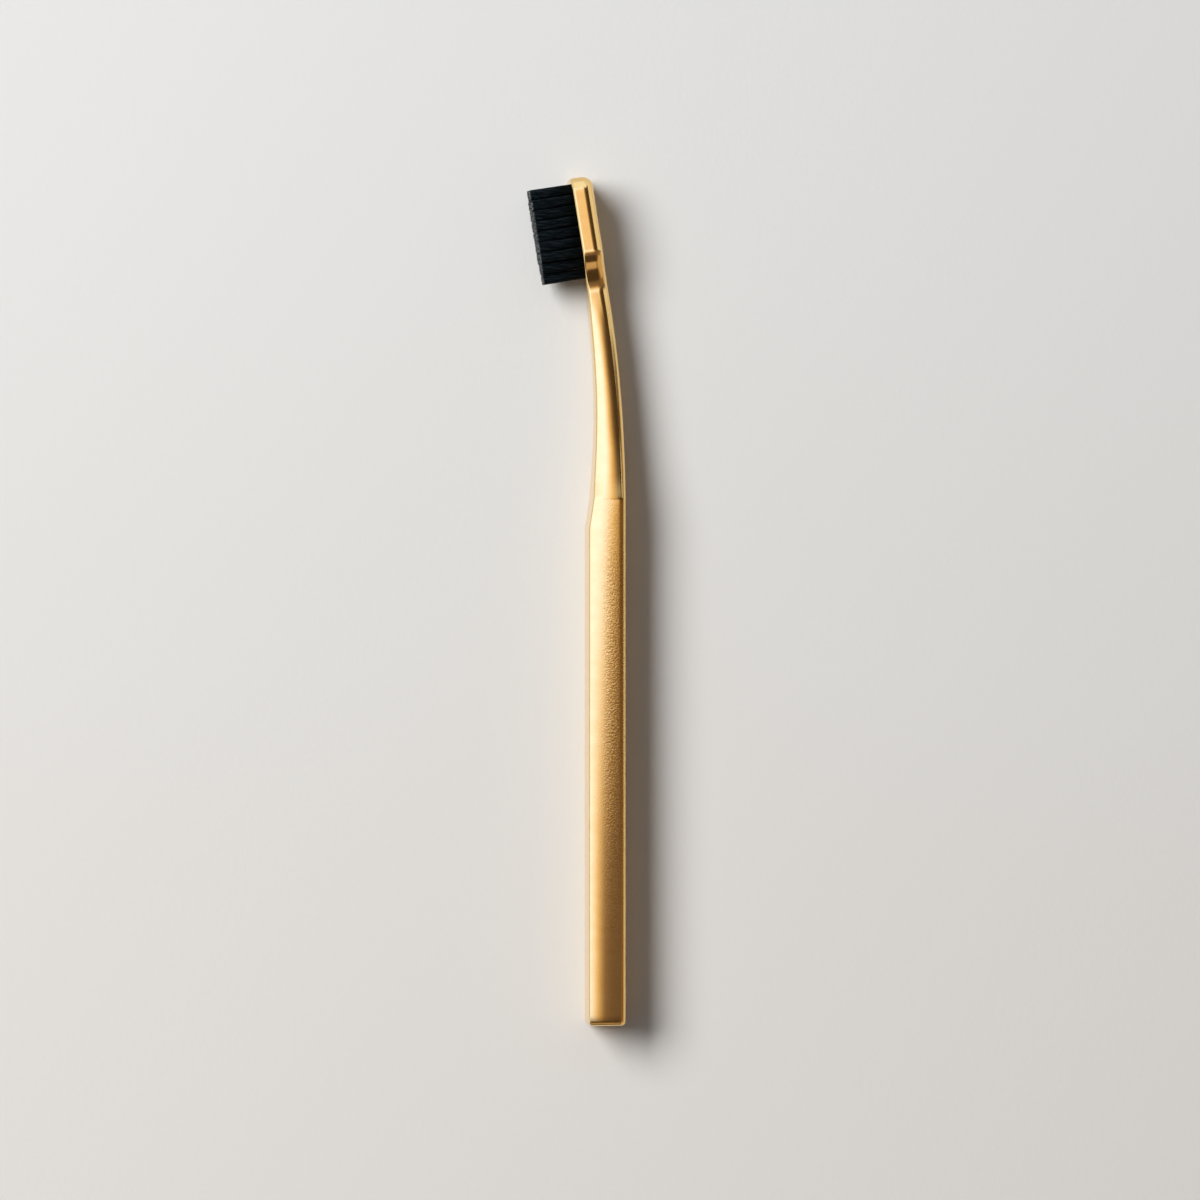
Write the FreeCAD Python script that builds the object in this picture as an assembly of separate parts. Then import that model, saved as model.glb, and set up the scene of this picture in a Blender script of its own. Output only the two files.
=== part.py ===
import FreeCAD, Part
import math
import os

Vec = FreeCAD.Vector

# A manual toothbrush lying on its side, in millimetres.
# +Y runs from the butt to the head, the bristles point to -X and +Z is up.

# Grip: the straight bar that the hand holds
grip_length = 111.0
grip_thickness = 8.4
grip_width = 11.0
grip_crown_radius = 24.0
grip_front_radius = 1.1
grip_back_radius = 2.1
butt_fillet = 1.0

# Ramp: the short slope that takes the front face down to the neck
ramp_length = 6.7
ramp_drop = 1.0

# Neck: a slender bar whose back bends forward along one arc
neck_lead = 2.1
neck_width = 6.4
neck_crown_radius = 9.0
bend_radius = 278.0
head_tilt = 9.2

# Head: a flat tilted plate with a squarish tip and S-shaped shoulders
head_straight = 16.3
head_width = 10.8
head_thickness = 4.9
head_front_fillet = 0.5
head_back_fillet = 2.3
tip_corner_radius = 2.7
shoulder_round_radius = 8.0
shoulder_hollow_radius = 14.7

# Tufts: filament bundles folded in half, seated in blind holes
tuft_hole_diameter = 2.0
tuft_hole_depth = 3.1
tuft_clearance = 0.03
tuft_free_length = 9.4
tuft_tip_diameter = 2.36
tuft_flutes = 6
row_pitch = 2.37
column_pitch = 2.4
tip_margin = 2.2
tufts_per_row = (2, 3, 4, 4, 4, 4, 4, 4, 3)

# Anchors: flat metal plates that wedge across the hole and pinch each fold
anchor_thickness = 0.3
anchor_height = 1.3
anchor_fold_height = 0.6
anchor_clearance = 0.02
anchor_skew = 30.0

# One overrun serves every cut
overrun = 1.0

# Neck sections from the ramp to the head, as shares of the neck's length
station_shares = (0.0, 0.1, 0.28, 0.48, 0.67, 0.86, 1.0)
thickness_shares = (1.0, 0.9, 0.65, 0.42, 0.27, 0.14, 0.0)
width_shares = (1.0, 0.72, 0.34, 0.15, 0.05, 0.01, 0.0)
round_shares = (0.0, 0.25, 0.55, 0.8, 1.0, 0.7, 0.0)
fillet_limit_share = 0.9
fold_flat_share = 0.4
flute_depth_share = 0.13

# Values worked out from the sizes above
tilt = math.radians(head_tilt)
crease_y = grip_length + ramp_length
root_thickness = grip_thickness - ramp_drop
bend_length = bend_radius * tilt
neck_length = neck_lead + bend_length
back_fillet = min(head_back_fillet, fillet_limit_share * tip_corner_radius)
shoulder_drop = (head_width - neck_width) / 2
shoulder_radii = shoulder_round_radius + shoulder_hollow_radius
shoulder_turn = math.acos(1 - shoulder_drop / shoulder_radii)
shoulder_length = shoulder_radii * math.sin(shoulder_turn)
head_length = shoulder_length + head_straight
hole_radius = tuft_hole_diameter / 2
foot_radius = hole_radius - tuft_clearance
tip_radius = tuft_tip_diameter / 2
anchor_length = tuft_hole_diameter - 2 * anchor_clearance


def blend(start, end, share):
    return start + (end - start) * share


def place_on_back(distance):
    """Placement on the back line, this far past the ramp: X to the back, Y along the neck."""
    turned = max(0.0, distance - neck_lead) / bend_radius
    x = -bend_radius * (1 - math.cos(turned))
    y = crease_y + min(distance, neck_lead) + bend_radius * math.sin(turned)
    return FreeCAD.Placement(Vec(x, y, 0), FreeCAD.Rotation(Vec(0, 0, 1), math.degrees(turned)))


def corner(edge_x, inward, radius, half_width, middle_x, curvature):
    """Arc that rounds one edge: its end on the flat, its middle and its end on the crown."""
    centre_x = edge_x + inward * radius
    if curvature:
        crown = 1 / curvature
        crown_z = half_width - crown
        centre_z = crown_z + math.sqrt((crown - radius) ** 2 - (centre_x - middle_x) ** 2)
        out = Vec(centre_x - middle_x, 0, centre_z - crown_z).normalize()
    else:
        centre_z = half_width - radius
        out = Vec(0, 0, 1)
    centre = Vec(centre_x, 0, centre_z)
    flat = Vec(-inward, 0, 0)
    middle = (flat + out).normalize()
    return [centre + direction * radius for direction in (flat, middle, out)]


def section(thickness, width, curvature, front_radius, back_radius):
    """Closed outline of the handle, back face on X = 0, flat front and back, crowned sides."""
    half_width = width / 2
    middle_x = -thickness / 2
    front = corner(-thickness, 1, front_radius, half_width, middle_x, curvature)
    back = corner(0.0, -1, back_radius, half_width, middle_x, curvature)

    def below(point):
        return Vec(point.x, 0, -point.z)

    def side(start, end, flip):
        if not curvature:
            return Part.LineSegment(start, end)
        crown = 1 / curvature
        x = (start.x + end.x) / 2
        z = half_width - crown + math.sqrt(crown ** 2 - (x - middle_x) ** 2)
        return Part.Arc(start, Vec(x, 0, flip * z), end)

    low_front = [below(point) for point in front]
    low_back = [below(point) for point in back]
    curves = [
        Part.LineSegment(low_front[0], front[0]),
        Part.Arc(*front),
        side(front[2], back[2], 1),
        Part.Arc(*reversed(back)),
        Part.LineSegment(back[0], low_back[0]),
        Part.Arc(*low_back),
        side(low_back[2], low_front[2], -1),
        Part.Arc(*reversed(low_front)),
    ]
    return Part.Wire([curve.toShape() for curve in curves])


def grip_section(thickness):
    return section(thickness, grip_width, 1 / grip_crown_radius, grip_front_radius, grip_back_radius)


def make_grip():
    bar = Part.Face(grip_section(grip_thickness)).extrude(Vec(0, grip_length, 0))
    butt_edges = [edge for edge in bar.Edges if edge.BoundBox.YMax < butt_fillet]
    radius = min(butt_fillet, fillet_limit_share * min(grip_front_radius, grip_back_radius))
    return bar.makeFillet(radius, butt_edges)


def make_ramp():
    low = grip_section(grip_thickness)
    low.translate(Vec(0, grip_length, 0))
    high = grip_section(root_thickness)
    high.translate(Vec(0, crease_y, 0))
    return Part.makeLoft([low, high], True, True)


def neck_section(index):
    thickness = blend(head_thickness, root_thickness, thickness_shares[index])
    width = blend(neck_width, grip_width, width_shares[index])
    curvature = blend(1 / grip_crown_radius, 1 / neck_crown_radius, round_shares[index])
    if index == len(station_shares) - 1:
        curvature = 0
    front_radius = blend(grip_front_radius, head_front_fillet, station_shares[index])
    back_radius = blend(grip_back_radius, back_fillet, station_shares[index])
    wire = section(thickness, width, curvature, front_radius, back_radius)
    wire.Placement = place_on_back(station_shares[index] * neck_length)
    return wire


def make_neck():
    return Part.makeLoft([neck_section(index) for index in range(len(station_shares))], True, False)


def head_outline():
    """Outline of the head in its own plane: Y from the shoulders' foot to the tip, Z across."""
    half_neck = neck_width / 2
    half_head = head_width / 2
    turn = shoulder_turn
    corner_radius = tip_corner_radius
    hollow_z = half_neck + shoulder_hollow_radius
    round_z = half_head - shoulder_round_radius

    def on_hollow(angle):
        y = shoulder_hollow_radius * math.sin(angle)
        return Vec(0, y, hollow_z - shoulder_hollow_radius * math.cos(angle))

    def on_round(angle):
        y = shoulder_length - shoulder_round_radius * math.sin(angle)
        return Vec(0, y, round_z + shoulder_round_radius * math.cos(angle))

    def on_tip(angle):
        y = head_length - corner_radius + corner_radius * math.cos(angle)
        return Vec(0, y, half_head - corner_radius + corner_radius * math.sin(angle))

    quarter = math.pi / 2
    rising = [
        Part.Arc(on_hollow(0), on_hollow(turn / 2), on_hollow(turn)),
        Part.Arc(on_round(turn), on_round(turn / 2), on_round(0)),
        Part.LineSegment(on_round(0), on_tip(quarter)),
        Part.Arc(on_tip(quarter), on_tip(quarter / 2), on_tip(0)),
    ]
    upper = Part.Wire([curve.toShape() for curve in rising])
    lower = upper.mirror(Vec(0, 0, 0), Vec(0, 0, 1))
    tip = Part.LineSegment(on_tip(0), Vec(0, head_length, -on_tip(0).z)).toShape()
    foot = Part.LineSegment(on_hollow(0), Vec(0, 0, -half_neck)).toShape()
    return Part.Wire(Part.__sortEdges__(upper.Edges + lower.Edges + [tip, foot]))


def make_head():
    plate = Part.Face(head_outline()).extrude(Vec(-head_thickness, 0, 0))

    def rim(solid, x):
        middle = head_thickness / 2
        return [
            edge for edge in solid.Edges
            if abs(edge.CenterOfMass.x - x) < middle and edge.BoundBox.XLength < middle / 2
            and edge.BoundBox.YMax > shoulder_length / 4
        ]

    plate = plate.makeFillet(back_fillet, rim(plate, 0.0))
    front_rim = rim(plate, -head_thickness)
    front_edges = [edge for edge in front_rim if edge.BoundBox.XMax < -head_thickness / 2]
    plate = plate.makeFillet(head_front_fillet, front_edges)
    plate.Placement = place_on_back(neck_length)
    return plate


def tuft_places():
    """Places of the tufts on the head's front face, by row from the neck and column from below."""
    rows = len(tufts_per_row)
    on_head = place_on_back(neck_length)
    face_turn = on_head.Rotation.multiply(FreeCAD.Rotation(Vec(0, 1, 0), -90))
    places = {}
    for row, count in enumerate(tufts_per_row):
        y = head_length - tip_margin - (rows - 1 - row) * row_pitch
        for column in range(count):
            z = (column - (count - 1) / 2) * column_pitch
            foot = on_head.multVec(Vec(-head_thickness, y, z))
            places[f"tuft_r{row + 1}_{column + 1}"] = FreeCAD.Placement(foot, face_turn)
    return places


def make_hole_cutter():
    return Part.makeCylinder(hole_radius, tuft_hole_depth + overrun, Vec(0, 0, -tuft_hole_depth))


def anchor_plate(clearance):
    """Plate across the hole, or with a clearance the slot between the two legs of the fold."""
    length = anchor_length + 2 * clearance
    thickness = anchor_thickness + 2 * clearance
    height = anchor_height + 2 * clearance
    bottom = anchor_fold_height - tuft_hole_depth - clearance
    plate = Part.makeBox(length, thickness, height, Vec(-length / 2, -thickness / 2, bottom))
    plate.rotate(Vec(0, 0, 0), Vec(0, 0, 1), anchor_skew)
    return plate


def flat_face(points):
    return Part.Face(Part.makePolygon(points + points[:1]))


def flute_points(radius, height):
    """Fluted outline of a bundle: crests on the radius, the first towards the tip, valleys between."""
    points = []
    for index in range(2 * tuft_flutes):
        angle = math.pi / 2 + math.pi * index / tuft_flutes
        distance = radius * (1 - flute_depth_share * (index % 2))
        points.append(Vec(distance * math.cos(angle), distance * math.sin(angle), height))
    return points


def make_bundle(low, high):
    """Solid between two fluted outlines, with one flat face for each side of a flute."""
    faces = [flat_face(low), flat_face(high)]
    for index in range(len(low)):
        faces.append(flat_face([low[index - 1], low[index], high[index], high[index - 1]]))
    return Part.Solid(Part.Shell(faces))


def fold_wedge(bottom):
    """Wedge that slopes one side of the foot, where the filaments turn under the anchor."""
    inner = foot_radius * fold_flat_share - overrun
    outer = foot_radius + overrun
    low = bottom - overrun
    points = [Vec(-outer, inner, low), Vec(-outer, outer, low), Vec(-outer, outer, low + outer - inner)]
    wedge = flat_face(points).extrude(Vec(2 * outer, 0, 0))
    wedge.rotate(Vec(0, 0, 0), Vec(0, 0, 1), anchor_skew)
    return wedge


def make_tuft():
    """One bundle: fluted, widening to its flat-trimmed tip, folded round its anchor at the foot."""
    bottom = tuft_clearance - tuft_hole_depth
    flare = (tip_radius - foot_radius) / tuft_free_length
    foot = flute_points(foot_radius + flare * bottom, bottom)
    bundle = make_bundle(foot, flute_points(tip_radius, tuft_free_length))
    wedge = fold_wedge(bottom)
    other_wedge = wedge.copy()
    other_wedge.rotate(Vec(0, 0, 0), Vec(0, 0, 1), 180)
    return bundle.cut([wedge, other_wedge, anchor_plate(anchor_clearance)])


def make_anchor():
    return anchor_plate(0.0)


def placed(shape, placement):
    copy = shape.copy()
    copy.Placement = placement.multiply(copy.Placement)
    return copy


def make_handle(places):
    handle = make_grip().multiFuse([make_ramp(), make_neck(), make_head()]).removeSplitter()
    cutter = make_hole_cutter()
    return handle.cut([placed(cutter, place) for place in places.values()])


def build():
    places = tuft_places()
    tuft = make_tuft()
    anchor = make_anchor()
    nodes = {"handle": make_handle(places)}
    for name, place in places.items():
        nodes[name] = placed(tuft, place)
    nodes["tuft_anchors"] = Part.makeCompound([placed(anchor, place) for place in places.values()])
    return nodes


def stand_on_origin(nodes):
    """Moves every piece so that the origin is below the middle of the whole brush."""
    box = Part.makeCompound(list(nodes.values())).optimalBoundingBox()
    move = Vec(-box.Center.x, -box.Center.y, -box.ZMin)
    for shape in nodes.values():
        shape.translate(move)


nodes = build()
stand_on_origin(nodes)
os.makedirs("parts", exist_ok=True)
for name, shape in nodes.items():
    shape.exportStep(f"parts/{name}.step")
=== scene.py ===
import math
import random

import bmesh
import bpy
from mathutils import Matrix, Vector


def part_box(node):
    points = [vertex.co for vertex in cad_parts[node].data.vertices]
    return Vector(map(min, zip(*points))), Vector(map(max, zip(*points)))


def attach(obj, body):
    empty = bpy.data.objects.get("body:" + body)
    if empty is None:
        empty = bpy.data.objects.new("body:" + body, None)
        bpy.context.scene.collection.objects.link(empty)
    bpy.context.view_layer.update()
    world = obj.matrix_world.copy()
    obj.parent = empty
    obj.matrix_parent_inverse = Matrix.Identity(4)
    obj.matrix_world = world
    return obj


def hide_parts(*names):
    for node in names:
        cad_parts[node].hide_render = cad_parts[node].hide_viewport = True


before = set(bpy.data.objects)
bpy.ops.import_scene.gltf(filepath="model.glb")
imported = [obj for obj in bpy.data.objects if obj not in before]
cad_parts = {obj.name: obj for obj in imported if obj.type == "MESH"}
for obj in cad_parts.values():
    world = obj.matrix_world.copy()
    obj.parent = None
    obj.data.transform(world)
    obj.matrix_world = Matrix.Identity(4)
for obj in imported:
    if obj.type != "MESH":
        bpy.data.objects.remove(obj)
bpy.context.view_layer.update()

mm = 0.001
print("frame loaded:", len(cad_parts), "nodes")


# Wraps a socket, so that shader maths reads as plain expressions
class Flow:
    def __init__(self, tree, socket=None):
        self.tree = tree
        self.socket = socket

    # Kind of node, its settings, then the values or links of its sockets
    def make(self, kind, settings, sockets, output=0):
        node = self.tree.nodes.new(kind)
        for name, value in settings.items():
            setattr(node, name, value)
        for name, value in sockets.items():
            if isinstance(value, Flow):
                self.tree.links.new(value.socket, node.inputs[name])
            else:
                node.inputs[name].default_value = value
        return Flow(self.tree, node.outputs[output])

    def maths(self, operation, *values):
        return self.make("ShaderNodeMath", {"operation": operation}, dict(enumerate(values)))

    def __add__(self, other):
        return self.maths("ADD", self, other)

    __radd__ = __add__

    def __sub__(self, other):
        return self.maths("SUBTRACT", self, other)

    def __rsub__(self, other):
        return self.maths("SUBTRACT", other, self)

    def __mul__(self, other):
        return self.maths("MULTIPLY", self, other)

    __rmul__ = __mul__

    def __truediv__(self, other):
        return self.maths("DIVIDE", self, other)

    # 0 below low, 1 above high, smooth between
    def step(self, low, high):
        sockets = {"Value": self, "From Min": low, "From Max": high}
        return self.make("ShaderNodeMapRange", {"interpolation_type": "SMOOTHSTEP"}, sockets)

    # First colour at 0, second at 1; sockets 6, 7 and output 2 are the node's colours
    def mix(self, first, second):
        return self.make("ShaderNodeMix", {"data_type": "RGBA"}, {0: self, 6: first, 7: second}, 2)

    def axis(self, name):
        return self.make("ShaderNodeSeparateXYZ", {}, {"Vector": self}, name)

    def dot(self, direction):
        settings = {"operation": "DOT_PRODUCT"}
        return self.make("ShaderNodeVectorMath", settings, {0: self, 1: direction}, "Value")

    def stretch(self, scale, turn=(0, 0, 0)):
        return self.make("ShaderNodeMapping", {}, {"Vector": self, "Scale": scale, "Rotation": turn})

    # Size of the grain in metres
    def noise(self, size, detail=2.0, roughness=0.5):
        sockets = {"Vector": self, "Scale": 1 / size, "Detail": detail, "Roughness": roughness}
        return self.make("ShaderNodeTexNoise", {}, sockets)


def newMaterial(name):
    material = bpy.data.materials.new(name)
    material.use_nodes = True
    tree = material.node_tree
    shader = tree.nodes["Principled BSDF"]
    place = Flow(tree).make("ShaderNodeTexCoord", {}, {}, "Object")
    return material, shader, place


def plug(shader, name, flow):
    flow.tree.links.new(flow.socket, shader.inputs[name])


def bumped(shader, height, distance):
    sockets = {"Height": height, "Distance": distance, "Strength": 1.0}
    plug(shader, "Normal", height.make("ShaderNodeBump", {}, sockets))


def newObject(name, data):
    made = bpy.data.objects.new(name, data)
    bpy.context.scene.collection.objects.link(made)
    return made


def newMesh(name, bm, material):
    mesh = bpy.data.meshes.new(name)
    bm.to_mesh(mesh)
    bm.free()
    mesh.materials.append(material)
    return mesh


def newPiece(name, bm, material, nodes):
    mesh = newMesh(name, bm, material)
    mesh.polygons.foreach_set("use_smooth", [True] * len(mesh.polygons))
    piece = newObject(name, mesh)
    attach(piece, "root")
    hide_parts(*nodes)
    return piece


# Handle, in millimetres along the back line from the butt
handleCut = {
    "gripLength": 111.0, "gripThickness": 8.4, "gripWidth": 11.0, "gripCrown": 24.0,
    "gripFront": 0.35, "gripBack": 1.7, "buttRound": 0.99, "leastRound": 0.1,
    "rampLength": 6.7, "rampDrop": 1.0, "creaseRound": 0.4,
    "neckLead": 2.1, "neckWidth": 6.4, "neckCrown": 9.0, "neckLean": 0.9, "bendRadius": 278.0,
    "headTilt": 9.2, "headStraight": 16.3, "headWidth": 10.8, "headThickness": 4.9,
    "headFront": 0.5, "headBack": 2.3, "headSpots": (0.03, 0.35, 0.65, 0.97),
    "tipCorner": 2.7, "shoulderRound": 8.0, "shoulderHollow": 14.7,
    "stations": (0.0, 0.1, 0.28, 0.48, 0.67, 0.86, 1.0),
    "thickness": (1.0, 0.9, 0.65, 0.42, 0.27, 0.14, 0.0),
    "width": (1.0, 0.72, 0.34, 0.15, 0.05, 0.01, 0.0),
    "roundness": (0.0, 0.25, 0.55, 0.8, 1.0, 0.7, 0.0),
    "arcSteps": 7, "sideSteps": 12, "gripSteps": 12, "neckSteps": 30, "shoulderSteps": 12, "cornerSteps": 9,
    "flatBelow": 1e-6, "merge": 0.001, "smallest": 0.0005,
}
cut = handleCut
tilt = math.radians(cut["headTilt"])
rootThickness = cut["gripThickness"] - cut["rampDrop"]
creaseY = cut["gripLength"] + cut["rampLength"]
neckLength = cut["neckLead"] + cut["bendRadius"] * tilt
handleLow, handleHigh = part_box("handle")
# On the back face, at the butt, midway up
handleOrigin = Vector((handleHigh.x, handleLow.y, (handleLow.z + handleHigh.z) / 2))


def blend(start, end, share):
    return start + (end - start) * share


# Smooth curve through the share table, read anywhere along the neck
def shareAt(table, along):
    stations = cut["stations"]
    last = len(stations) - 1
    index = max(i for i in range(last) if stations[i] <= along)
    slopes = []
    for i in (index, index + 1):
        low, high = max(0, i - 1), min(last, i + 1)
        slopes.append((table[high] - table[low]) / (stations[high] - stations[low]))
    span = stations[index + 1] - stations[index]
    t = (along - stations[index]) / span
    rise = table[index + 1] - table[index]
    curve = slopes[0] * span * t * (1 - t) ** 2 - slopes[1] * span * t * t * (1 - t)
    return table[index] + rise * t * t * (3 - 2 * t) + curve


# Round from a flat face to the side: points run from the flat outwards
def edgeRound(edge, inward, radius, half, middle, curvature):
    across = edge + inward * radius
    if curvature > cut["flatBelow"]:
        crown = 1 / curvature
        out = half - crown + math.sqrt((crown - radius) ** 2 - (across - middle) ** 2)
        end = math.atan2(out - half + crown, across - middle)
    else:
        out = half - radius
        end = math.pi / 2
    start = math.pi if inward > 0 else 0.0
    angles = [blend(start, end, i / cut["arcSteps"]) for i in range(cut["arcSteps"] + 1)]
    return [(across + radius * math.cos(a), out + radius * math.sin(a)) for a in angles]


# Half outline from the front flat over the side to the back flat: (thickness, distance from the rim)
def halfProfile(thickness, half, curvature, front, back, shrink=0.0, lean=0.0):
    middle = -thickness / 2 - lean
    frontArc = edgeRound(-thickness, 1, front, half, middle, curvature)
    backArc = edgeRound(0.0, -1, back, half, middle, curvature)
    side = []
    for i in range(1, cut["sideSteps"]):
        across = blend(frontArc[-1][0], backArc[-1][0], i / cut["sideSteps"])
        drop = 0.0
        if curvature > cut["flatBelow"]:
            crown = 1 / curvature
            drop = crown - math.sqrt(crown ** 2 - (across - middle) ** 2)
        side.append((across, half - drop))
    inner = half - cut["tipCorner"] + shrink
    points = [(-thickness, inner)] + frontArc + side + backArc[::-1] + [(0.0, inner)]
    return [(across, out - half) for across, out in points]


# Point and turn of the back line, this far past the ramp
def backLine(distance):
    turned = max(0.0, distance - cut["neckLead"]) / cut["bendRadius"]
    x = -cut["bendRadius"] * (1 - math.cos(turned))
    y = creaseY + min(distance, cut["neckLead"]) + cut["bendRadius"] * math.sin(turned)
    return Matrix.Translation((x, y, 0)) @ Matrix.Rotation(turned, 4, "Z")


# A station is a profile with the rim point, the way across and the way out
def gripStations():
    stations = []
    curvature = 1 / cut["gripCrown"]
    half = cut["gripWidth"] / 2

    def add(y, thickness, inset=0.0):
        front, back = max(cut["leastRound"], cut["gripFront"] - inset), cut["gripBack"] - inset
        profile = halfProfile(thickness - 2 * inset, half - inset, curvature, front, back, inset)
        rim = Vector((-inset, y, half - inset))
        stations.append((profile, rim, Vector((1, 0, 0)), Vector((0, 0, 1))))

    radius = cut["buttRound"]
    for i in range(cut["arcSteps"] + 1):
        angle = math.pi / 2 * (1 - i / cut["arcSteps"])
        add(radius * (1 - math.sin(angle)), cut["gripThickness"], radius * (1 - math.cos(angle)))
    soft = cut["creaseRound"]
    for i in range(1, cut["gripSteps"] + 1):
        add(blend(radius, cut["gripLength"] - soft, i / cut["gripSteps"]), cut["gripThickness"])
    for along in (0.0, soft / cut["rampLength"], 1 - soft / cut["rampLength"]):
        add(cut["gripLength"] + along * cut["rampLength"], cut["gripThickness"] - along * cut["rampDrop"])
    return stations


def neckStations():
    stations = []
    soft = cut["creaseRound"] / neckLength
    steps = [0.0, soft] + [blend(soft, 1.0, i / cut["neckSteps"]) for i in range(1, cut["neckSteps"])]
    for along in steps:
        thickness = blend(cut["headThickness"], rootThickness, shareAt(cut["thickness"], along))
        half = blend(cut["neckWidth"], cut["gripWidth"], shareAt(cut["width"], along)) / 2
        curvature = blend(1 / cut["gripCrown"], 1 / cut["neckCrown"], shareAt(cut["roundness"], along))
        lastSpan = cut["stations"][-2]
        if along > lastSpan:
            flatten = (along - lastSpan) / (1 - lastSpan)
            curvature = blend(curvature, 0.0, flatten)
        front = blend(cut["gripFront"], cut["headFront"], along)
        back = blend(cut["gripBack"], cut["headBack"], along)
        place = backLine(along * neckLength)
        profile = halfProfile(thickness, half, curvature, front, back, lean=cut["neckLean"] * along)
        turn = place.to_3x3()
        rim = place @ Vector((0, 0, half))
        stations.append((profile, rim, turn @ Vector((1, 0, 0)), Vector((0, 0, 1))))
    return stations


# Round the rim of the head: hollow and round of the shoulder, straight side, tip corner, half of the tip
def headStations():
    halfNeck, halfHead = cut["neckWidth"] / 2, cut["headWidth"] / 2
    hollow, rounded, corner = cut["shoulderHollow"], cut["shoulderRound"], cut["tipCorner"]
    turn = math.acos(1 - (halfHead - halfNeck) / (hollow + rounded))
    shoulder = (hollow + rounded) * math.sin(turn)
    length = shoulder + cut["headStraight"]
    rim = []
    steps = cut["shoulderSteps"]
    for i in range(steps + 1):
        a = turn * i / steps
        rim.append((hollow * math.sin(a), halfNeck + hollow * (1 - math.cos(a)), -a))
    for i in range(1, steps + 1):
        a = turn * (1 - i / steps)
        rim.append((shoulder - rounded * math.sin(a), halfHead - rounded * (1 - math.cos(a)), -a))
    for share in cut["headSpots"]:
        rim.append((blend(shoulder, length - corner, share), halfHead, 0.0))
    for i in range(cut["cornerSteps"] + 1):
        a = math.pi / 2 * i / cut["cornerSteps"]
        rim.append((length - corner + corner * math.sin(a), halfHead - corner + corner * math.cos(a), a))
    rim.append((length, 0.0, math.pi / 2))
    place = backLine(neckLength)
    spin = place.to_3x3()
    profile = halfProfile(cut["headThickness"], halfHead, 0.0, cut["headFront"], cut["headBack"])
    stations = []
    for along, across, angle in rim:
        out = spin @ Vector((0, math.sin(angle), math.cos(angle)))
        stations.append((profile, place @ Vector((0, along, across)), spin @ Vector((1, 0, 0)), out))
    return stations


def makeHandle(material):
    stations = gripStations() + neckStations() + headStations()
    count = len(stations[0][0])
    bm = bmesh.new()
    bmesh.ops.create_grid(bm, x_segments=count - 1, y_segments=len(stations) - 1, size=1)
    # Each row of the grid goes to its station, each column to its profile point
    columns = {}
    for vert in bm.verts:
        column = round((vert.co.x + 1) / 2 * (count - 1))
        row = round((vert.co.y + 1) / 2 * (len(stations) - 1))
        columns[vert] = (column, row)
    for vert, (column, row) in columns.items():
        profile, rim, across, out = stations[row]
        vert.co = rim + across * profile[column][0] + out * profile[column][1]
    # The flats are drawn in from the inner edges to the middle plane
    flatRows = len(stations) - cut["cornerSteps"] - 2
    inner = []
    for edge in bm.edges:
        (column, row), (otherColumn, otherRow) = [columns[vert] for vert in edge.verts]
        if column == otherColumn and column in (0, count - 1) and max(row, otherRow) <= flatRows:
            inner.append(edge)
    drawn = bmesh.ops.extrude_edge_only(bm, edges=inner)
    for vert in (g for g in drawn["geom"] if isinstance(g, bmesh.types.BMVert)):
        vert.co.z = 0.0
    everything = bm.verts[:] + bm.edges[:] + bm.faces[:]
    bmesh.ops.mirror(bm, geom=everything, matrix=Matrix.Identity(4), merge_dist=cut["merge"], axis="Z")
    bmesh.ops.remove_doubles(bm, verts=bm.verts, dist=cut["merge"])
    bmesh.ops.dissolve_degenerate(bm, edges=bm.edges, dist=cut["smallest"])
    bmesh.ops.holes_fill(bm, edges=[e for e in bm.edges if e.is_boundary], sides=0)
    bmesh.ops.recalc_face_normals(bm, faces=bm.faces)
    matrix = Matrix.Translation(handleOrigin) @ Matrix.Scale(mm, 4)
    bmesh.ops.transform(bm, matrix=matrix, verts=bm.verts)
    piece = newPiece("goldHandle", bm, material, ["handle"])
    smooth = piece.modifiers.new("smooth", "SUBSURF")
    smooth.levels = smooth.render_levels = 1
    return piece


goldFinish = {
    "light": (0.94, 0.65, 0.265, 1), "deep": (0.91, 0.61, 0.235, 1),
    # Dull and bright specks are painted sparkle: painted dark reflections and painted glints
    "dull": (0.72, 0.45, 0.15, 1), "glintSpeck": (0.97, 0.68, 0.28, 1),
    "roughness": 0.12, "gripRoughness": 0.03, "fineDetail": 3.0,
    "grainSize": 0.00042, "speckSize": 0.00036, "speckEdge": (0.35, 0.65),
    "patchSize": 0.003, "patchEdge": (0.3, 0.7), "dent": 0.000026, "dentShares": (0.1, 0.9),
    "creaseBlur": 0.0005, "heldLeast": 0.3, "heldFrom": (-0.085, -0.03), "heldTo": (0.0, 0.02),
    "sparkleFrom": (-0.0062, -0.0034),
}


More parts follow.
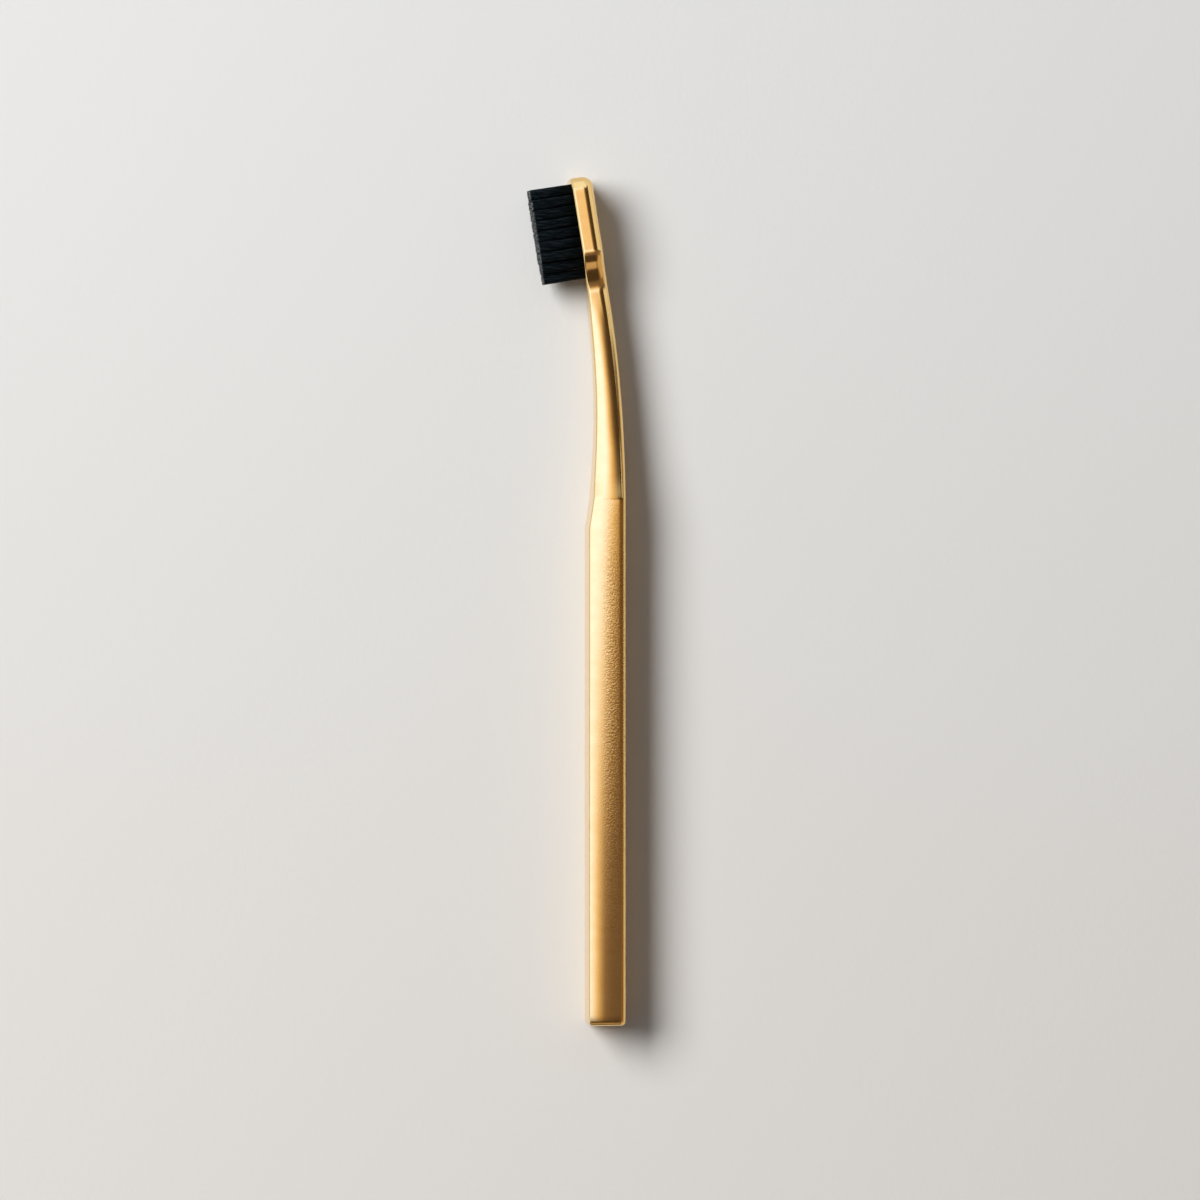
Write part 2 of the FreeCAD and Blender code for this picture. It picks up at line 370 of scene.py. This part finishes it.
# Satin gold coat: smooth on the neck and head, with dents and painted sparkle on the back half of the grip:
# dark and bright specks in the colour stand in for the glints of its grain
def goldMaterial():
    look = goldFinish
    material, shader, place = newMaterial("satinGold")
    grain = place.noise(look["grainSize"], look["fineDetail"])
    speck = place.noise(look["speckSize"], look["fineDetail"]).step(*look["speckEdge"])
    patch = place.noise(look["patchSize"]).step(*look["patchEdge"])
    creaseAt = handleOrigin.y + creaseY * mm
    along = place.axis("Y")
    grip = 1 - along.step(creaseAt - look["creaseBlur"], creaseAt + look["creaseBlur"])
    middle = along.step(*look["heldFrom"]) * (1 - along.step(*look["heldTo"]))
    held = grip * (look["heldLeast"] + (1 - look["heldLeast"]) * middle)
    # Where the painted sparkle goes, measured from the back face: there the specks put the grain's glints and
    # dark reflections into the colour
    sparkleAndDents = held * (place.axis("X") - handleOrigin.x).step(*look["sparkleFrom"])
    colour = patch.mix(look["light"], look["deep"])
    # Painted sparkle: dull specks are painted dark reflections, bright specks painted glints
    sparkleSpecks = speck.mix(look["dull"], look["glintSpeck"])
    plug(shader, "Base Color", sparkleAndDents.mix(colour, sparkleSpecks))
    plug(shader, "Roughness", look["roughness"] + held * look["gripRoughness"] * (0.5 + grain))
    heldShare, backDentShare = look["dentShares"]
    bumped(shader, grain * (heldShare * held + backDentShare * sparkleAndDents), look["dent"])
    shader.inputs["Metallic"].default_value = 1.0
    return material


# Tufts: thin filaments packed in rings, spreading a little from the head to the trim
tuftCut = {
    "footRadius": 1.12, "tipRadius": 1.18, "filament": 0.095, "free": 9.4, "depth": 3.07, "seat": 1.2,
    "rings": 5, "perRing": 6, "sides": 6, "uneven": 0.34, "wander": 0.03, "shake": 0.05, "seed": 7,
    "bevel": 0.6, "bevelSteps": 2,
}
bristleWay = Vector((-math.cos(tilt), -math.sin(tilt), 0))


def makeTuft(node, material, chance):
    low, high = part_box(node)
    middle = (low + high) / 2
    look = tuftCut
    foot = middle + bristleWay * mm * ((look["depth"] - look["free"]) / 2)
    turn = bristleWay.to_track_quat("Z", "Y").to_matrix()
    bm = bmesh.new()
    for ring in range(look["rings"] + 1):
        spots = max(1, look["perRing"] * ring)
        share = ring / look["rings"]
        for spot in range(spots):
            shaken = chance.uniform(-look["shake"], look["shake"])
            angle = 2 * math.pi * (spot + 0.5 * (ring % 2)) / spots + shaken
            near = (look["footRadius"] - look["filament"]) * share
            far = (look["tipRadius"] - look["filament"]) * share + chance.uniform(-1, 1) * look["wander"]
            flat = Vector((math.cos(angle), math.sin(angle), 0))
            start = flat * near - Vector((0, 0, look["seat"]))
            end = flat * far + Vector((0, 0, look["free"] - chance.uniform(0, look["uneven"])))
            way = end - start
            lean = way.to_track_quat("Z", "Y").to_matrix().to_4x4()
            spin = Matrix.Rotation(chance.uniform(0, math.pi), 4, "Z")
            spotMatrix = Matrix.Translation((start + end) / 2) @ lean @ spin
            made = bmesh.ops.create_cone(
                bm, cap_ends=True, segments=look["sides"], radius1=look["filament"], radius2=look["filament"],
                depth=way.length, matrix=spotMatrix)
            caps = {f for v in made["verts"] for f in v.link_faces if len(f.verts) == look["sides"]}
            topFace = max(caps, key=lambda face: face.calc_center_median().z)
            bmesh.ops.bevel(
                bm, geom=topFace.edges[:], offset=look["filament"] * look["bevel"], affect="EDGES",
                segments=look["bevelSteps"], profile=0.5, material=-1)
    matrix = Matrix.Translation(foot) @ turn.to_4x4() @ Matrix.Scale(mm, 4)
    bmesh.ops.transform(bm, matrix=matrix, verts=bm.verts)
    return newPiece(node.replace("tuft", "filaments"), bm, material, [node])


filamentFinish = {
    # The lighter streak colour is painted sheen, the light caught on the rows' ridges
    "body": (0.0015, 0.0035, 0.0045, 1), "sheenStreak": (0.018, 0.025, 0.028, 1), "cutEnd": (0.2, 0.205, 0.2, 1),
    "roughness": 0.42, "endRoughness": 0.2, "streakRoughness": 0.1, "shine": 0.06,
    "endFrom": 0.00032, "endTo": 0.00008, "speckSize": 0.0003, "speckEdge": (0.4, 0.62),
    "streakScale": (300, 4000, 4000), "sheenStreakEdge": (0.42, 0.7),
}


# Black nylon with paler cut ends at the trim, streaked along the filaments with lighter streaks of painted
# sheen
def filamentMaterial():
    look = filamentFinish
    material, shader, place = newMaterial("blackNylon")
    low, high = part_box("tuft_r5_1")
    trim = bristleWay.dot((low + high) / 2) + mm * (tuftCut["free"] + tuftCut["depth"]) / 2
    end = place.dot(bristleWay).step(trim - look["endFrom"], trim - look["endTo"])
    speck = place.noise(look["speckSize"], 1.0).step(*look["speckEdge"])
    streak = place.stretch(look["streakScale"], (0, 0, tilt)).noise(1.0)
    # Lighter streaks are painted sheen: the light on the rows' ridges put into the colour
    body = streak.step(*look["sheenStreakEdge"]).mix(look["body"], look["sheenStreak"])
    plug(shader, "Base Color", (end * speck).mix(body, look["cutEnd"]))
    roughness = look["roughness"] + look["endRoughness"] * end + look["streakRoughness"] * streak
    plug(shader, "Roughness", roughness)
    shader.inputs["Specular IOR Level"].default_value = look["shine"]
    return material


# Brass strip with rolling lines, for the plates inside the holes, out of sight
anchorFinish = {
    "metal": (0.72, 0.6, 0.36, 1), "dull": (0.5, 0.4, 0.22, 1), "roughness": 0.32, "lineRoughness": 0.15,
    "lineScale": (2000, 30000, 2000), "lineDetail": 3.0, "lineEdge": (0.3, 0.7),
}


def anchorMaterial():
    look = anchorFinish
    material, shader, place = newMaterial("stripMetal")
    lines = place.stretch(look["lineScale"]).noise(1.0, look["lineDetail"])
    plug(shader, "Base Color", lines.step(*look["lineEdge"]).mix(look["metal"], look["dull"]))
    plug(shader, "Roughness", look["roughness"] + look["lineRoughness"] * lines)
    shader.inputs["Metallic"].default_value = 1.0
    return material


# Floor of pale paper, with painted shade: a little darker and warmer towards the butt
floorLook = {
    "reach": 4.0, "cells": 8, "roughness": 0.75, "shine": 0.2,
    "far": (0.80, 0.795, 0.775, 1), "near": (0.80, 0.77, 0.725, 1), "turn": (-0.14, 0.14),
    "fibre": 0.0012, "fibreDetail": 4.0, "fibreRoughness": 0.6, "tooth": 0.00004,
}


def makeFloor():
    look = floorLook
    bm = bmesh.new()
    bmesh.ops.create_grid(bm, x_segments=look["cells"], y_segments=look["cells"], size=look["reach"])
    material, shader, place = newMaterial("palePaper")
    fibre = place.noise(look["fibre"], look["fibreDetail"], look["fibreRoughness"])
    # Painted shade: the paper darkens and warms towards the butt, standing in for the light falling off there
    plug(shader, "Base Color", place.axis("Y").step(*look["turn"]).mix(look["near"], look["far"]))
    bumped(shader, fibre, look["tooth"])
    shader.inputs["Roughness"].default_value = look["roughness"]
    shader.inputs["Specular IOR Level"].default_value = look["shine"]
    floor = newObject("paperFloor", newMesh("paperFloor", bm, material))


# One soft, wide lamp at the upper left; the gold mirrors two cards, a dim room and pale walls
studio = {
    "lampAzimuth": 152.0, "lampElevation": 39.2, "lampDistance": 2.5, "lampSize": (2.1, 1.25),
    "lampPower": 84.5, "fill": 0.27, "wall": (0.80, 0.84, 0.92, 1),
    "dark": (0.065, 0.044, 0.027, 1), "darkSlope": 0.7, "darkEdge": (0.0, 0.03),
    "glow": (0.6, 0.46, 0.33, 1), "glowTop": (0.2, 0.36), "glowSide": (0.3, 0.6),
    "glowRise": (-0.2, -0.1, 0.35), "haze": (0.22, 0.145, 0.085, 1), "hazeEdge": (-0.05, 0.08),
}


def makeLamp():
    look = studio
    light = bpy.data.lights.new("softLamp", "AREA")
    light.shape = "ELLIPSE"
    light.size, light.size_y = look["lampSize"]
    light.energy = look["lampPower"]
    lamp = newObject("softLamp", light)
    turn, rise = math.radians(look["lampAzimuth"]), math.radians(look["lampElevation"])
    away = Vector((math.cos(turn) * math.cos(rise), math.sin(turn) * math.cos(rise), math.sin(rise)))
    lamp.location = away * look["lampDistance"]
    lamp.rotation_euler = away.to_track_quat("Z", "Y").to_euler()
    lamp.visible_camera = lamp.visible_glossy = False


# A card shows only in reflections. It spans low to high in its own plane, which the matrix places
def newCard(name, look, matrix):
    size = [high - low for low, high in zip(look["low"], look["high"])]
    middle = [(high + low) / 2 for low, high in zip(look["low"], look["high"])]
    bm = bmesh.new()
    bmesh.ops.create_grid(bm, x_segments=1, y_segments=1, size=0.5)
    spanned = Matrix.Translation((*middle, 0)) @ Matrix.Diagonal((*size, 1, 1))
    bmesh.ops.transform(bm, matrix=matrix @ spanned, verts=bm.verts)
    material, shader, place = newMaterial(name)
    shader.inputs["Emission Strength"].default_value = 1.0
    shader.inputs["Base Color"].default_value = (0, 0, 0, 1)
    shader.inputs["Specular IOR Level"].default_value = 0.0
    card = newObject(name, newMesh(name, bm, material))
    card.visible_camera = card.visible_diffuse = card.visible_shadow = False
    return shader, place


# Card over the brush: white at the left, then warm, brown and dim towards the right. The bends move these
# bands sideways along the brush, and the spreads change their width
cardLook = {
    "low": (-0.45, -1.25), "high": (0.5, 3.0), "height": 0.79, "shift": 0.12, "spread": 1.19,
    "bends": ((-0.08, 0.06, 0.36), (0.06, 0.09, -0.17), (0.1, 0.2, 0.06)),
    "spreads": ((-0.09, -0.02, -0.5), (0.04, 0.08, 0.31)),
    "cool": (1.28, 1.6, 2.7, 1), "warm": (1.1, 0.84, 0.47, 1), "whiteEdge": (-0.17, 0.06),
    "brown": (0.225, 0.148, 0.1, 1), "brownEdge": (-0.04, 0.22),
    "dim": (0.172, 0.121, 0.092, 1), "dimEdge": (0.2, 0.42), "dimBend": (0.03, 0.08, 0.1),
    "far": (1.0, 1.08, 1.25, 1), "farEdge": (0.25, 0.36),
    "lowDark": (-0.2, -0.14), "lowStrip": (-0.62, -0.56),
}


def makeCard():
    look = cardLook
    shader, place = newCard("skyCard", look, Matrix.Translation((0, 0, look["height"])))
    along = place.axis("Y")
    side = place.axis("X") / look["height"] + look["shift"]
    for low, high, amount in look["bends"]:
        side = side - along.step(low, high) * amount
    spread = look["spread"]
    for low, high, amount in look["spreads"]:
        spread = spread + along.step(low, high) * amount
    side = side * spread
    lit = side.step(*look["whiteEdge"]).mix(look["cool"], look["warm"])
    fading = side.step(*look["brownEdge"]).mix(lit, look["brown"])
    low, high, amount = look["dimBend"]
    bend = along.step(low, high)
    dim = bend.mix(look["dim"], studio["dark"])
    bands = (side + bend * amount).step(*look["dimEdge"]).mix(fading, dim)
    # Past the head the card is pale, past the butt dark with a glowing strip
    bands = along.step(*look["farEdge"]).mix(bands, look["far"])
    bands = along.step(*look["lowDark"]).mix(studio["dark"], bands)
    plug(shader, "Emission Color", along.step(*look["lowStrip"]).mix(studio["glow"], bands))


# Card standing at the right, that shows in the rounded back of the head
sideLook = {
    "x": 0.3, "low": (0.09, 0.0), "high": (0.6, 0.26), "edge": (0.095, 0.11), "glow": (0.85, 0.84, 0.84, 1),
}


def makeSideCard():
    look = sideLook
    stand = Matrix.Rotation(math.pi / 2, 4, "Z") @ Matrix.Rotation(math.pi / 2, 4, "X")
    shader, place = newCard("sideCard", look, Matrix.Translation((look["x"], 0, 0)) @ stand)
    plug(shader, "Emission Color", place.axis("Y").step(*look["edge"]).mix(studio["dark"], look["glow"]))


# Walls and ceiling are what the gold mirrors past the cards, and add only a little fill
def makeWorld():
    look = studio
    world = bpy.data.worlds.new("studioRoom")
    bpy.context.scene.world = world
    world.use_nodes = True
    tree = world.node_tree
    way = Flow(tree).make("ShaderNodeTexCoord", {}, {}, "Generated")
    # The room is dark towards the right and the butt, with a glow low at the right
    dark = (way.axis("X") * look["darkSlope"] - way.axis("Y")).step(*look["darkEdge"])
    seen = Flow(tree).make("ShaderNodeLightPath", {}, {}, "Is Camera Ray")
    mirrored = Flow(tree).make("ShaderNodeLightPath", {}, {}, "Is Glossy Ray")
    shown = seen.maths("MAXIMUM", seen, mirrored)
    background = tree.nodes["Background"]
    right = way.axis("X").step(*look["glowSide"])
    haze = (right * (1 - way.axis("Y").step(*look["hazeEdge"]))).mix(look["dark"], look["haze"])
    low, high, rise = look["glowRise"]
    height = way.axis("Z") - (1 - way.axis("Y").step(low, high)) * rise
    glow = (right * (1 - height.step(*look["glowTop"]))).mix(haze, look["glow"])
    room = dark.mix(look["wall"], glow)
    tree.links.new(room.socket, background.inputs["Color"])
    tree.links.new((look["fill"] + shown * (1 - look["fill"])).socket, background.inputs["Strength"])


# The picture is 1200 px square, seen from above and slightly from the bristles' side
cameraLook = {
    "tilt": 5.7, "distance": 2.0, "pixelsPerMm": 4.4698, "pixels": 1200, "aim": (5.38, 0.27, 5.5),
    "sensor": 36.0, "clip": 20.0,
}


def makeCamera():
    look = cameraLook
    data = bpy.data.cameras.new("topCamera")
    data.sensor_width = look["sensor"]
    width = look["pixels"] / look["pixelsPerMm"] * mm
    data.lens = data.sensor_width * look["distance"] / width
    data.clip_end = look["clip"]
    camera = newObject("topCamera", data)
    lean = math.radians(look["tilt"])
    away = Vector((-math.sin(lean), 0, math.cos(lean)))
    camera.location = Vector(look["aim"]) * mm + away * look["distance"]
    camera.rotation_euler = (0, -lean, 0)
    bpy.context.scene.camera = camera


handle = makeHandle(goldMaterial())
print("handle:", len(handle.data.polygons), "faces")
nylon = filamentMaterial()
chance = random.Random(tuftCut["seed"])
tuftNodes = sorted(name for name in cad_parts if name.startswith("tuft_r"))
tufts = [makeTuft(node, nylon, chance) for node in tuftNodes]
print("tufts:", len(tufts), "with", len(tufts[0].data.polygons), "faces each")
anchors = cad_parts["tuft_anchors"]
anchors.data.materials.clear()
anchors.data.materials.append(anchorMaterial())
makeFloor()
makeLamp()
makeCard()
makeSideCard()
makeWorld()
makeCamera()
bpy.context.scene.view_settings.view_transform = "Standard"
print("stage, light and camera set")
